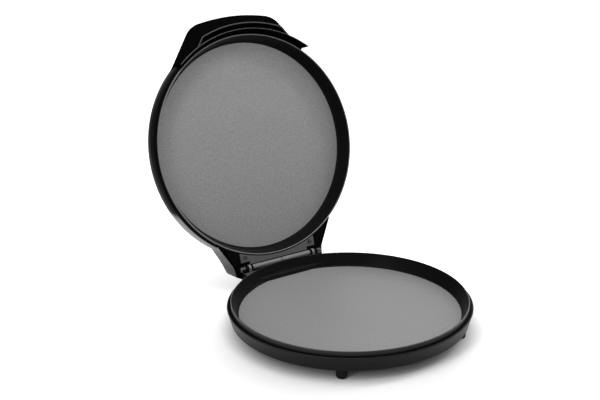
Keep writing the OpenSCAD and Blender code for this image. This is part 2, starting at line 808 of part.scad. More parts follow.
module indicator_lenses() {
    top = top_at(lens_ring);
    color("#b03020") swing_open() for (x = lens_x) translate([x, -lens_ring, 0]) {
        translate([0, 0, top - shell_t - 1.4]) cylinder(r = lens_r + 1.2, h = 0.8);
        translate([0, 0, top - shell_t - 1.4]) cylinder(r = lens_r, h = shell_t + 2);
    }
}

module indicator_lamps() {
    top = top_at(lens_ring);
    color("#e8d8a0") swing_open() for (x = lens_x)
        translate([x, -lens_ring, top - shell_t - 1.4 - lamp_h]) cylinder(r = 2, h = lamp_h);
}

// block that joins the leads of the lid
module lid_connector() {
    color("#e6e2d8") swing_open() translate([connector_x - 9, pin_end - 5, upper_back_z + hair])
        difference() {
            cube([9, 11.8, 4.4]);
            for (y = [3.5, 8.5]) translate([4.5, y, 3]) cylinder(r = 1.4, h = 3);
        }
}

connector_x = -leg_half - 8;

module lid_leads() {
    z = upper_back_z + sheath_r + hair;
    color("#c04030") swing_open() for (lead = [[-leg_half, 1.3], [leg_half, 5.3]]) {
        translate([lead[0], pin_end, z]) rotate([-90, 0, 0]) cylinder(r = lead_r, h = lead[1], $fn = 24);
        translate([lead[0], pin_end + lead[1], z]) sphere(r = lead_r, $fn = 24);
        translate([connector_x, pin_end + lead[1], z]) rotate([0, 90, 0])
            cylinder(r = lead_r, h = lead[0] - connector_x, $fn = 24);
    }
}

// ---------------------------------------------------------------- nodes

base_housing();
base_hinge_plate();
hinge_plate_screws();
lower_baking_pan();
lower_heating_element();
lower_element_clamps();
lower_clamp_screws();
lower_reflector();
base_screws();
rubber_feet();
cord_gland();
terminal_block();
thermostat();
thermal_fuse();
base_leads();
hinge_rod();
lid_housing();
handle_grip();
handle_screws();
lid_hinge_bracket();
lid_bracket_screws();
upper_baking_pan();
upper_heating_element();
upper_element_clamps();
upper_clamp_screws();
upper_reflector();
pan_clips();
lid_thermostat();
indicator_lenses();
indicator_lamps();
lid_connector();
lid_leads();
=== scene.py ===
"""An electric pizza maker on a pale table, lid open.

Metres, +Z up, the object's frame: the hinge is at the rear (+Y), the grip of
the closed lid at the front (-Y). The pieces follow in the order in which the
machine is put together, base first, then hinge, then lid. Lid pieces are
worked out closed and then swung open about the hinge rod.
"""
import math

import bmesh
import bpy
import numpy as np
from mathutils import Matrix, Vector


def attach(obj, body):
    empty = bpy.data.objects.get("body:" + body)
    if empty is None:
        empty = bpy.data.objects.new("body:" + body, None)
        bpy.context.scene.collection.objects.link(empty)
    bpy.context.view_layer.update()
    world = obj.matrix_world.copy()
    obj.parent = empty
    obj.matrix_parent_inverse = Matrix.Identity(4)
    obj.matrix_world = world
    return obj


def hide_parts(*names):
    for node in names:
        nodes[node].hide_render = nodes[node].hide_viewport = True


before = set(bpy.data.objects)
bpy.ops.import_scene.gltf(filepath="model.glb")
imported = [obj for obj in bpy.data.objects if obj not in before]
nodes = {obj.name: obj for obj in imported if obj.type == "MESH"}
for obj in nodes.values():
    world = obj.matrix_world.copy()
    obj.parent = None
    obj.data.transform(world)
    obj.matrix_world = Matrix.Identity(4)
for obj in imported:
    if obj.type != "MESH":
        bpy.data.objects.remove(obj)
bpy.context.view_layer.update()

# ---------------------------------------------------------------- camera
# A long lens a metre and a half away, a little to the left of the machine and
# above it, with a small sideways shift.

LOOK_TURN, LOOK_RISE, LOOK_FROM = math.radians(-34.98), math.radians(19.51), 1.5
LENS, SENSOR_WIDTH, SIDE_SHIFT = 68.61, 36, -0.05
LOOK_RIGHT_BY, LOOK_UP_BY = -0.02604, 0.16286
look_back = Vector((math.sin(LOOK_TURN) * math.cos(LOOK_RISE),
                    -math.cos(LOOK_TURN) * math.cos(LOOK_RISE), math.sin(LOOK_RISE)))
look_right = Vector((math.cos(LOOK_TURN), math.sin(LOOK_TURN), 0))
look_up = look_back.cross(look_right)
look_at = look_right * LOOK_RIGHT_BY + look_up * LOOK_UP_BY

camera = bpy.data.objects.new("camera", bpy.data.cameras.new("camera"))
camera.data.lens = LENS
camera.data.sensor_width = SENSOR_WIDTH
camera.data.shift_x = SIDE_SHIFT
camera.matrix_world = Matrix.Translation(look_at + look_back * LOOK_FROM) @ Matrix(
    (look_right, look_up, look_back)).transposed().to_4x4()
bpy.context.scene.collection.objects.link(camera)
bpy.context.scene.camera = camera
bpy.context.scene.view_settings.view_transform = "Standard"

# ---------------------------------------------------------------- base housing
# A shallow round tub moulded in black plastic, satin outside; on the ledge round
# the pan its black is painted shade, with almost no reflection. Its wall leans in
# and rounds under to a flat rim and a low belly, and the flat box behind it
# carries the hinge.

HOUSING_R, LEDGE_Z, PAN_HOLE_R, SKIN = 0.160, 0.0325, 0.1553, 0.0022
EDGE_R, HOLE_EDGE, WALL_LEAN, UNDER_R = 0.0012, 0.0004, 0.0045, 0.0030
UNDER_Z, BELLY_R, BELLY_Z = 0.0125, 0.1280, 0.0075
# edges between faces stay sharp from this angle on
SHARP_FROM = math.radians(32)


def arc(x, y, r, a, b, n=8):
    """Points of a circle arc about (x, y) from angle a to angle b, in degrees."""
    t = np.radians(np.linspace(a, b, n + 1))
    return np.c_[x + r * np.cos(t), y + r * np.sin(t)]


def net(name, points, finishes, wrap_u=False, wrap_v=False, caps=False, body="base",
        marks=None, cap_mark=0):
    """A surface through a grid of points [u, v, xyz]: each four neighbours make
    one face, the grid closes on itself where wrap says, doubled points at poles
    are merged, and the ends along u are capped with one face each if asked.
    Marks give each column of faces its place in finishes, cap_mark the first cap."""
    nu, nv = points.shape[:2]
    i = np.arange(nu if wrap_u else nu - 1)[:, None]
    j = np.arange(nv if wrap_v else nv - 1)[None, :]
    i2, j2 = (i + 1) % nu, (j + 1) % nv
    quads = np.stack([i * nv + j, i2 * nv + j, i2 * nv + j2, i * nv + j2], -1).reshape(-1, 4)
    faces = quads.tolist()
    if caps:
        faces += [list(range(nv)), list(range((nu - 1) * nv, nu * nv))]
    mesh = bpy.data.meshes.new(name)
    mesh.from_pydata(points.reshape(-1, 3).tolist(), [], faces)
    shape = bmesh.new()
    shape.from_mesh(mesh)
    shape.faces.ensure_lookup_table()
    if marks is not None:
        for face, mark in zip(shape.faces, marks[quads[:, 0] % nv].tolist()):
            face.material_index = mark
    if caps:
        shape.faces[len(quads)].material_index = cap_mark
    bmesh.ops.remove_doubles(shape, verts=shape.verts, dist=1e-6)
    bmesh.ops.recalc_face_normals(shape, faces=shape.faces)
    shape.to_mesh(mesh)
    shape.free()
    mesh.shade_smooth()
    mesh.set_sharp_from_angle(angle=SHARP_FROM)
    for finish in finishes:
        mesh.materials.append(finish)
    piece = bpy.data.objects.new(name, mesh)
    bpy.context.scene.collection.objects.link(piece)
    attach(piece, body)
    return piece


def turned(name, profile, finishes, steps=288, closed=True, place=lambda p: p, **rest):
    """A profile (r, z) carried once round the axis, x = r sin t, y = -r cos t, and
    then put in its place. A closed profile runs back to its own start."""
    t = np.linspace(0, 2 * math.pi, steps, endpoint=False)[:, None]
    r, z = profile[:, 0][None, :], profile[:, 1][None, :]
    points = np.stack([r * np.sin(t), -r * np.cos(t), z + 0 * t], -1)
    return net(name, place(points), finishes, wrap_u=True, wrap_v=closed, **rest)


def shader(name, color, rough, **sockets):
    """A material with its Principled shader's own sockets set."""
    material = bpy.data.materials.new(name)
    material.use_nodes = True
    surface = surface_of(material)
    surface.inputs["Base Color"].default_value = (*color, 1)
    surface.inputs["Roughness"].default_value = rough
    for socket, value in sockets.items():
        surface.inputs[socket.replace("_", " ")].default_value = value
    return material


def surface_of(material):
    """The material's Principled shader."""
    return material.node_tree.nodes["Principled BSDF"]


def speckle(material, size, low, high, depth, shine, detail=3.0, cover=(0.35, 0.65)):
    """Colour between low and high after noise of that size in metres, with the
    same noise pressed into the surface by depth and its gloss varied by shine."""
    tree, surface = material.node_tree, surface_of(material)
    place = tree.nodes.new("ShaderNodeTexCoord")
    noise = tree.nodes.new("ShaderNodeTexNoise")
    noise.inputs["Scale"].default_value = 1 / size
    noise.inputs["Detail"].default_value = detail
    tree.links.new(place.outputs["Object"], noise.inputs["Vector"])
    ramp = tree.nodes.new("ShaderNodeValToRGB")
    for element, position, color in zip(ramp.color_ramp.elements, cover, (low, high)):
        element.position, element.color = position, (*color, 1)
    tree.links.new(noise.outputs["Fac"], ramp.inputs["Fac"])
    tree.links.new(ramp.outputs["Color"], surface.inputs["Base Color"])
    span = tree.nodes.new("ShaderNodeMapRange")
    span.inputs["To Min"].default_value, span.inputs["To Max"].default_value = shine
    tree.links.new(noise.outputs["Fac"], span.inputs["Value"])
    tree.links.new(span.outputs["Result"], surface.inputs["Roughness"])
    if depth:
        bump = tree.nodes.new("ShaderNodeBump")
        bump.inputs["Distance"].default_value = depth
        tree.links.new(noise.outputs["Fac"], bump.inputs["Height"])
        tree.links.new(bump.outputs["Normal"], surface.inputs["Normal"])


satin_black = shader("satin_black_moulding", (0.0045, 0.0045, 0.0047), 0.38,
                     Specular_IOR_Level=0.12)
speckle(satin_black, 0.0007, (0.0035, 0.0035, 0.0036), (0.006, 0.006, 0.0062), 0.00004,
        (0.33, 0.44))
# painted shade: the moulding's black with its reflection all but taken out, put on the tub's ledge,
# the lid's foot and inside, the arms' inner sides and the bridge
shaded_black = shader("shade_painted_black_inner_face", (0.002, 0.002, 0.0021), 0.3, Specular_IOR_Level=0.01)
speckle(shaded_black, 0.004, (0.0015, 0.0015, 0.0016), (0.0027, 0.0027, 0.0028), 0.00002,
        (0.25, 0.36))

# the section runs from the hole over the ledge, down the wall and back inside
tub_foot_r = HOUSING_R - WALL_LEAN - UNDER_R
belly_rim_r = BELLY_R + UNDER_Z - BELLY_Z
tub = np.vstack([
    [(PAN_HOLE_R, LEDGE_Z - SKIN), (PAN_HOLE_R, LEDGE_Z - HOLE_EDGE),
     (PAN_HOLE_R + HOLE_EDGE, LEDGE_Z)],
    arc(HOUSING_R - EDGE_R, LEDGE_Z - EDGE_R, EDGE_R, 90, 0),
    [(HOUSING_R - 0.0003, LEDGE_Z - 0.0020), (HOUSING_R - 0.0006, LEDGE_Z - 0.0024)],
    arc(tub_foot_r, UNDER_Z + UNDER_R, UNDER_R, 0, -90),
    [(belly_rim_r, UNDER_Z), (BELLY_R, BELLY_Z), (0, BELLY_Z),
     (0, BELLY_Z + SKIN), (BELLY_R - SKIN, BELLY_Z + SKIN), (belly_rim_r - SKIN, UNDER_Z + SKIN)],
    arc(tub_foot_r, UNDER_Z + UNDER_R, UNDER_R - SKIN, -90, 0, 4),
    [(HOUSING_R - EDGE_R - SKIN, LEDGE_Z - SKIN)]])
LEDGE_ROWS = 3
base_tub = turned("base_tub", tub, (shaded_black, satin_black),
                  marks=np.repeat([0, 1], [LEDGE_ROWS, len(tub) - LEDGE_ROWS]))
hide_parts("base_housing")


def unit(vectors):
    """Rows of vectors brought to length one."""
    return vectors / np.linalg.norm(vectors, axis=1)[:, None]


def moved_in(plan, inset):
    """A closed plan (x, y) moved in by inset: each corner slides along the mean
    of its two edges' normals, further at sharp corners, at most twice as far."""
    ahead, behind = unit(np.roll(plan, -1, 0) - plan), unit(plan - np.roll(plan, 1, 0))
    heading = unit(ahead + behind)
    stretch = np.maximum(0.5, np.sqrt((1 + np.sum(ahead * behind, 1)) / 2))[:, None]
    after = np.roll(plan, -1, 0)
    area = np.sum(plan[:, 0] * after[:, 1] - after[:, 0] * plan[:, 1])
    return plan - np.sign(area) * inset * np.c_[heading[:, 1], -heading[:, 0]] / stretch


def prism(name, plan, levels, finishes, place=lambda p: p, **rest):
    """A plan (x, y) stacked at levels (z, inset), closed at both ends and put in its
    place. The plan is a function of t, from 0 at the lowest level to 1 at the top."""
    low, high = levels[0][0], levels[-1][0]
    rows = [moved_in(plan((z - low) / (high - low)), inset) for z, inset in levels]
    points = np.stack([np.c_[row, np.full(len(row), level[0])] for row, level in zip(rows, levels)])
    return net(name, place(points), finishes, wrap_v=True, caps=True, **rest)


def edge_levels(low, high, r, n=3):
    """Levels from low to high with both edges rounded to radius r."""
    t = np.linspace(0, math.pi / 2, n + 1)
    foot = [(low + r - r * math.cos(a), r - r * math.sin(a)) for a in t]
    head = [(high - r + r * math.sin(a), r - r * math.cos(a)) for a in t]
    return foot + head


BOX_HALF, BOX_FRONT, BOX_BACK, BOX_TOP = 0.0605, 0.140, 0.178, 0.0275
BOX_CORNER, BOX_EDGE_R = 0.006, 0.0008
corner_x, corner_y = BOX_HALF - BOX_CORNER, BOX_BACK - BOX_CORNER
box_plan = np.vstack([[(BOX_HALF, BOX_FRONT)], arc(corner_x, corner_y, BOX_CORNER, 0, 90, 6),
                      arc(-corner_x, corner_y, BOX_CORNER, 90, 180, 6), [(-BOX_HALF, BOX_FRONT)]])
rear_box = prism("rear_box", lambda t: box_plan, edge_levels(UNDER_Z, BOX_TOP, BOX_EDGE_R),
                 (satin_black,))
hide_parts("base_housing")

# ---------------------------------------------------------------- baking pans
# Two cast aluminium pans with a hard black non-stick coat. Their floors are
# painted a fine grey grain that stands in for the sheen of that black coat, and
# the round rims carry a lighter grey painted highlight. Walls lean in. This is
# the lower one, let into the base.

PAN_R, PAN_T, PAN_LEAN, PAN_CORNER, PAN_SKIRT = 0.155, 0.0018, 0.006, 0.003, 0.0085
LOWER_DEPTH, LOWER_RIM_Z, LOWER_LIP_ROWS = 0.018, 0.039, 5


def pan_profile(depth):
    """Section (r, z) of a pan with its rim at z = 0 and its floor at -depth."""
    floor_r = PAN_R - PAN_T - PAN_LEAN
    lip = PAN_T / 2
    return np.vstack([
        [(0, -depth), (floor_r - PAN_CORNER - 0.001, -depth)],
        arc(floor_r - PAN_CORNER, PAN_CORNER - depth, PAN_CORNER, -90, -16),
        arc(PAN_R - lip, -lip, lip, 180, 0, 10),
        [(PAN_R, -PAN_SKIRT), (floor_r + PAN_T, PAN_CORNER - depth)],
        arc(floor_r - PAN_CORNER, PAN_CORNER - depth, PAN_CORNER + PAN_T, -30, -90, 5),
        [(0, -depth - PAN_T)]])


def pan_marks(lip_rows):
    """Finish of each row of the section: floor 1, inner wall 0, the last rows of the
    lip 2, the outside below it 3, the underside 0."""
    return np.repeat([1, 0, 2, 3, 0], [3, 17 - lip_rows, lip_rows, 3, 8])


coat_black = shader("black_nonstick_coat", (0.004, 0.004, 0.0041), 0.34, Specular_IOR_Level=0.035)
speckle(coat_black, 0.0012, (0.0025, 0.0025, 0.0026), (0.0055, 0.0055, 0.0056), 0.00005,
        (0.3, 0.42))
# painted highlight: a lighter grey on the lip rows, where a thin line of light runs along the rim
coat_lip = shader("painted_highlight_on_lip", (0.03, 0.03, 0.0302), 0.36, Specular_IOR_Level=0.5)
speckle(coat_lip, 0.0012, (0.022, 0.022, 0.0222), (0.04, 0.04, 0.0402), 0.00003, (0.3, 0.42))
coat_outer = shader("black_coat_outside", (0.009, 0.009, 0.0092), 0.38, Specular_IOR_Level=0.2)
speckle(coat_outer, 0.0012, (0.007, 0.007, 0.0071), (0.012, 0.012, 0.0122), 0.00004, (0.33, 0.44))
# painted sheen: the floor is the same black coat as the walls, and its grey, laid over a noise
# grain, stands in for that coat's sheen
coat_grain = shader("grained_floor_painted_sheen", (0.19, 0.19, 0.192), 0.45)
speckle(coat_grain, 0.0016, (0.148, 0.148, 0.149), (0.232, 0.232, 0.234), 0.00008, (0.38, 0.55),
        detail=6.0, cover=(0.3, 0.7))

lower_pan = turned("lower_pan", pan_profile(LOWER_DEPTH) + (0, LOWER_RIM_Z),
                   (coat_black, coat_grain, coat_lip, coat_outer), closed=False,
                   marks=pan_marks(LOWER_LIP_ROWS))
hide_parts("lower_baking_pan")

# ---------------------------------------------------------------- feet
# Four soft black rubber feet, moulded as short studs with rounded soles and
# pressed into the underside: two below the front wall, two below the rear box.

FOOT_SPOTS = ((-0.093, -0.112), (0.093, -0.112), (-0.050, 0.168), (0.050, 0.168))
FOOT_R, SOLE_R = 0.0075, 0.0030

rubber = shader("black_rubber", (0.004, 0.004, 0.004), 0.62, Specular_IOR_Level=0.1)
speckle(rubber, 0.0009, (0.003, 0.003, 0.003), (0.006, 0.006, 0.006), 0.00003, (0.55, 0.7))

foot_profile = np.vstack([[(0, 0)], arc(FOOT_R - SOLE_R - 0.0005, SOLE_R, SOLE_R, -90, -8),
                          [(FOOT_R - 0.0001, 0.0090), (FOOT_R, UNDER_Z), (0, UNDER_Z)]])
for count, (x, y) in enumerate(FOOT_SPOTS, 1):
    foot = turned(f"foot_{count}", foot_profile, (rubber,), steps=40, closed=False,
                  place=lambda points: points + (x, y, 0))
    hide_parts("rubber_feet")

# ---------------------------------------------------------------- hinge
# A painted steel plate with two knuckles on the rear box, a steel rod, and the
# lid's bracket with its two rolled barrels between the knuckles.

HINGE_Y, HINGE_Z, OPEN = 0.166, 0.035, math.radians(107)
# distances from the rod: the barrels' painted highlight, the painted shade in the crease behind
# them, and the darkened knuckles
KNUCKLE_X, BARREL_HIGHLIGHT_R, CREASE_SHADE_R, KNUCKLE_DARK_R, ALL_R = 0.047, 0.00375, 0.0058, 0.0062, 0.02
HIGHLIGHT_GREY, HIGHLIGHT_SPECULAR, PAINT_SPECULAR = 0.13, 0.5, 0.5
# painted highlight along the rod: full on the barrels, 0.9 and 0.8 on two rings of each knuckle,
# almost none between
HIGHLIGHT_STEPS = ((0, 1), (KNUCKLE_X, 0.03), (0.0488, 0.9), (0.0515, 0.03), (0.055, 0.8),
              (0.0585, 0.03))


def opened(points):
    """Points of the closed lid turned back about the hinge rod by the opening angle."""
    y, z = points[..., 1] - HINGE_Y, points[..., 2] - HINGE_Z
    c, s = math.cos(OPEN), math.sin(OPEN)
    return np.stack([points[..., 0], HINGE_Y + c * y + s * z, HINGE_Z - s * y + c * z], -1)


def feed(tree, socket, value):
    """Another node's output linked into the socket, or a plain value set on it."""
    if isinstance(value, bpy.types.NodeSocket):
        tree.links.new(value, socket)
    else:
        socket.default_value = value


def worked(tree, way, *values):
    """One sum or comparison of numbers and outputs, taken in their order."""
    step = tree.nodes.new("ShaderNodeMath")
    step.operation = way
    for socket, value in zip(step.inputs, values):
        feed(tree, socket, value)
    return step.outputs["Value"]


def blended(tree, way, share, first, second):
    """Second laid over first in that way, by that share."""
    mix = tree.nodes.new("ShaderNodeMix")
    mix.data_type, mix.blend_type = "RGBA", way
    for socket, value in (("Factor", share), ("A", first), ("B", second)):
        feed(tree, mix.inputs[socket], value)
    return mix.outputs["Result"]


def away_from(tree, spot, counted):
    """Distance of the surface from a spot, over the axes that are counted."""
    place = tree.nodes.new("ShaderNodeTexCoord")
    across = tree.nodes.new("ShaderNodeVectorMath")
    across.operation = "MULTIPLY"
    across.inputs[1].default_value = counted
    tree.links.new(place.outputs["Object"], across.inputs[0])
    away = tree.nodes.new("ShaderNodeVectorMath")
    away.operation = "DISTANCE"
    away.inputs[1].default_value = spot
    tree.links.new(across.outputs["Vector"], away.inputs[0])
    return away.outputs["Value"]


def along(tree, axis, stops, between="EASE"):
    """A grey value read off stops (metres, value) along one Object axis, taken
    without its sign."""
    place = tree.nodes.new("ShaderNodeTexCoord")
    split = tree.nodes.new("ShaderNodeSeparateXYZ")
    tree.links.new(place.outputs["Object"], split.inputs["Vector"])
    size = worked(tree, "ABSOLUTE", split.outputs[axis])
    ramp = tree.nodes.new("ShaderNodeValToRGB")
    ramp.color_ramp.interpolation = between
    elements = ramp.color_ramp.elements
    for count, (position, value) in enumerate(stops):
        element = elements[0] if count == 0 else elements.new(position)
        element.position, element.color = position, (value, value, value, 1)
    elements.remove(elements[-1])
    tree.links.new(size, ramp.inputs["Fac"])
    return ramp.outputs["Color"]


def fed_by(surface, socket):
    """The output that is linked into that socket of the shader."""
    return surface.inputs[socket].links[0].from_socket


painted = shader("textured_dark_paint", (0.05, 0.05, 0.052), 0.45, Metallic=0.0)
speckle(painted, 0.0009, (0.042, 0.042, 0.044), (0.066, 0.066, 0.068), 0.00006, (0.4, 0.55),
        detail=4.0)
dark_steel = shader("blackened_steel", (0.06, 0.06, 0.062), 0.38, Metallic=1.0)
speckle(dark_steel, 0.0008, (0.045, 0.045, 0.047), (0.08, 0.08, 0.082), 0.00001, (0.3, 0.45))

# near the rod the barrels carry a painted highlight with painted shade in the
# crease behind them, and the knuckles are darkened with two rings of painted highlight
tree, surface = painted.node_tree, surface_of(painted)
paint = fed_by(surface, "Base Color")
off_rod = away_from(tree, (0, HINGE_Y, HINGE_Z), (0, 1, 1))
highlight_by_x = along(tree, "X", HIGHLIGHT_STEPS, "CONSTANT")
close = worked(tree, "LESS_THAN", off_rod, along(
    tree, "X", ((0, CREASE_SHADE_R), (KNUCKLE_X, KNUCKLE_DARK_R)), "CONSTANT"))
barrel = worked(tree, "LESS_THAN", off_rod, along(
    tree, "X", ((0, BARREL_HIGHLIGHT_R), (KNUCKLE_X, ALL_R)), "CONSTANT"))
bright = worked(tree, "MULTIPLY", highlight_by_x, barrel)
for socket, lit_value, plain in (("Base Color", HIGHLIGHT_GREY, paint),
                            ("Specular IOR Level", HIGHLIGHT_SPECULAR, (PAINT_SPECULAR,) * 3 + (1,))):
    level = worked(tree, "MULTIPLY", bright, lit_value)
    tree.links.new(blended(tree, "MIX", close, plain, level), surface.inputs[socket])

nodes["base_hinge_plate"].data.materials[0] = painted
nodes["hinge_rod"].data.materials[0] = dark_steel
nodes["lid_hinge_bracket"].data.materials[0] = painted

# ---------------------------------------------------------------- lid shell
# A round domed shell moulded in glossy black plastic. It flares out from the
# pan, stands straight for a band and rounds over to a low crown.

FOOT_Z, FLARE_Z, WALL_Z, EDGE_Z, TOP_Z, SHOULDER_R = 0.043, 0.051, 0.058, 0.067, 0.079, 0.009
FOOT_LIP, FLARE_MIDDLE, FLARE_EASE = 0.0009, (0.1579, 0.0466), 0.0004
# painted reflection: how strongly the outer sides reflect, set by height, strongest about 6 to 11
# cm up
PAINTED_REFLECTION_STEPS = ((0, 0.15), (0.034, 0.18), (0.052, 0.36), (0.076, 0.85), (0.1, 0.6),
               (0.112, 0.5), (0.122, 0.02), (0.24, 0.01), (0.29, 0.02))

gloss_black = shader("gloss_black_moulding", (0.003, 0.003, 0.0031), 0.16, Specular_IOR_Level=0.3)
# painted reflection: a raised IOR and a reflection strength read off height give the outer sides a
# band of reflected light
side_black = shader("black_side_painted_reflection", (0.003, 0.003, 0.0031), 0.16, IOR=2.2)
for finish in (gloss_black, side_black):
    speckle(finish, 0.02, (0.0025, 0.0025, 0.0026), (0.0038, 0.0038, 0.0039), 0.00002, (0.12, 0.2))
side_black.node_tree.links.new(along(side_black.node_tree, "Z", PAINTED_REFLECTION_STEPS),
                               surface_of(side_black).inputs["Specular IOR Level"])


def crown(r):
    """Height of the lid's top at radius r: a parabola that falls to the shoulder."""
    return EDGE_Z + (TOP_Z - EDGE_Z) * (1 - (r / (HOUSING_R - SHOULDER_R)) ** 2)


top_r = np.linspace(HOUSING_R - SHOULDER_R, 0, 25)[1:]
inner_r = np.linspace(0, HOUSING_R - SHOULDER_R, 13)
shell = np.vstack([
    [(PAN_HOLE_R, FOOT_Z), (PAN_HOLE_R + FOOT_LIP, FOOT_Z), FLARE_MIDDLE,
     (HOUSING_R - FLARE_EASE, FLARE_Z - 2 * FLARE_EASE), (HOUSING_R, FLARE_Z + FLARE_EASE)],
    arc(HOUSING_R - SHOULDER_R, WALL_Z, SHOULDER_R, 0, 84, 14),
    np.c_[top_r, crown(top_r)],
    np.c_[inner_r, crown(inner_r) - SKIN],
    arc(HOUSING_R - SHOULDER_R, WALL_Z, SHOULDER_R - SKIN, 84, 0, 6),
    [(HOUSING_R - SKIN, FLARE_Z + 0.001), (PAN_HOLE_R + 0.0005, FOOT_Z + SKIN),
     (PAN_HOLE_R, FOOT_Z + SKIN)]])
# rows of the section: foot, flare and wall, shoulder and crown, inside
shell_marks = np.repeat([1, 2, 0, 1], [2, 6, 35, 24])
lid_shell = turned("lid_shell", shell, (gloss_black, shaded_black, side_black), place=opened,
                   body="lid", marks=shell_marks)
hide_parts("lid_housing")

# ---------------------------------------------------------------- brow and grip
# The shell reaches out at the front as a wide brow with a bowed edge, moulded
# with the lid. Under it a separate grip is screwed on from inside, with a thin
# brim, a groove for the fingertips, a ridge, and a slope up to the brow's edge.

BROW_FRONT, BROW_HALF, BROW_BOW, CORNER_RUN = 0.1825, 0.0675, 0.290, 0.014
SIDE_R, SIDE_LOW, RIDGE_R = 0.1572, 0.1450, 0.1700
WEB_R, BRIM_IN_R, BRIM_R = 0.1580, 0.1608, 0.1620
GRIP_LOW, WEB_Z, GROOVE_Z, GRIP_TOP = 0.0295, 0.0340, 0.0360, 0.0480
BROW_EDGE_Z, BROW_TOP, GRIP_TURN = 0.0540, 0.0570, math.radians(39.5)
SLOPE_LOW, SLOPE_R, SIDE_TOP_R = GRIP_LOW + 0.0005, BROW_FRONT + 0.0015, SIDE_R + 0.0004
SOFTNESS = 0.0003

# painted shade: a black with no reflection at all on the brow's face and the grip's underside, so
# they stay dark as in shade
shaded_slope_black = shader("shade_painted_black_slope", (0.002, 0.002, 0.002), 0.5, Specular_IOR_Level=0.0)
speckle(shaded_slope_black, 0.002, (0.001, 0.001, 0.001), (0.003, 0.003, 0.003), 0.00002, (0.45, 0.6))
# painted highlight: a lighter, shinier black on the brow's round front edge and the grip's brim and
# ridge tips, for the thin lines of light along them
edge_highlight = shader("painted_highlight_black_edge", (0.012, 0.012, 0.0122), 0.3, Specular_IOR_Level=0.5)
speckle(edge_highlight, 0.003, (0.008, 0.008, 0.0082), (0.017, 0.017, 0.0172), 0.00001, (0.22, 0.36))


def front_y(x):
    """Front edge of the brow: a circle of radius BROW_BOW bowed to the front."""
    return -BROW_FRONT + BROW_BOW - np.sqrt(BROW_BOW ** 2 - x ** 2)


# the brow's edge seen from above: straight side, rounded corner, bowed front
corner = np.array([-BROW_HALF, front_y(BROW_HALF)])
side_turn = -math.atan2(BROW_HALF, -corner[1]) - math.acos(SIDE_R / math.hypot(*corner))
root = SIDE_R * np.array([math.sin(side_turn), -math.cos(side_turn)])
start = corner + (root - corner) * CORNER_RUN / np.linalg.norm(root - corner)
end = np.array([-BROW_HALF + CORNER_RUN, front_y(BROW_HALF - CORNER_RUN)])
u = np.linspace(0, 1, 25)[:, None]
rounding = (1 - u) ** 2 * start + 2 * u * (1 - u) * corner + u ** 2 * end
front_x = np.linspace(end[0], 0, 40)[1:]
half = np.vstack([root + (start - root) * np.linspace(0, 1, 30)[:-1, None], rounding,
                  np.c_[front_x, front_y(front_x)]])
edge = np.vstack([half, half[-2::-1] * (-1, 1)])
edge_turn, edge_r = np.arctan2(edge[:, 0], -edge[:, 1]), np.linalg.norm(edge, axis=1)


def reach(turn, z, inset=0.0):
    """Outer radius of the brow and grip: the least of the plan's edge, the front
    slope, a cone that widens from RIDGE_R upwards and four times as far as it
    rises above the brow's edge, and the side slope, a plane that leans out
    from SIDE_LOW to SIDE_TOP_R. Where two meet, the soft least,
    -k log(sum of exp(-r / k)) with k = SOFTNESS, rounds the edge between them."""
    cone = RIDGE_R + (z - SLOPE_LOW) * (SLOPE_R - RIDGE_R) / (BROW_EDGE_Z - SLOPE_LOW)
    cone = cone + 4 * np.maximum(0, z - BROW_EDGE_Z)
    side = SIDE_LOW + (z - GRIP_LOW) * (SIDE_TOP_R - SIDE_LOW) / (BROW_TOP - GRIP_LOW) - inset
    side = side / np.cos(np.abs(turn) + side_turn)
    ways = np.stack(np.broadcast_arrays(np.interp(turn, edge_turn, edge_r), cone, side))
    least = ways.min(0)
    return least - SOFTNESS * np.log(np.exp((least - ways) / SOFTNESS).sum(0))


def carried(name, r, z, turns, finishes, marks):
    """Sections (r, z), one row per turn about the lid's axis, joined into a closed body."""
    t = turns[:, None]
    r, z = np.broadcast_arrays(r, z)
    return net(name, opened(np.stack([r * np.sin(t), -r * np.cos(t), z], -1)), finishes,
               wrap_v=True, caps=True, body="lid", marks=marks)


def columns(*parts):
    """Columns of numbers, or single columns repeated, side by side for every turn."""
    rows = max(np.shape(p)[0] for p in parts if np.ndim(p) == 2)
    return np.hstack([np.broadcast_to(p, (rows, np.shape(p)[-1])) for p in parts])


# the brow: top with a fillet against the shell, round front edge, upright face, slope
BROW_IN, BROW_ROUND, FILLET_RISE, FILLET_RUN, FILLET_FADE = 0.1575, 0.0012, 0.0016, 0.006, 0.008
brow_turns = np.linspace(side_turn, -side_turn, 361)
t = brow_turns[:, None]
face_z = np.linspace(BROW_TOP - BROW_ROUND, GRIP_TOP, 19)[None, :]
face_r = np.maximum(reach(t, face_z), BROW_IN + 0.0003)
round_r = np.minimum(BROW_ROUND, (face_r[:, :1] - BROW_IN) * 0.3)
bow = np.radians([80, 62, 45, 28, 12])[None, :]
fillet = np.clip((face_r[:, :1] - HOUSING_R) / FILLET_FADE, 0, 1)
top_r = BROW_IN + (face_r[:, :1] - round_r - BROW_IN) * np.linspace(0, 1, 9)[None, :]
top_z = BROW_TOP + FILLET_RISE * fillet * np.maximum(0, 1 - (top_r - BROW_IN) / FILLET_RUN) ** 2
brow = carried(
    "brow",
    columns(top_r, face_r[:, :1] - round_r + round_r * np.cos(bow), face_r, [[BROW_IN]]),
    columns(top_z, BROW_TOP - BROW_ROUND + BROW_ROUND * np.sin(bow) + 0 * t, face_z + 0 * t,
            [[GRIP_TOP]]),
    brow_turns, (gloss_black, shaded_slope_black, edge_highlight), np.repeat([0, 2, 1], [9, 5, 20]))
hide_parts("lid_housing")

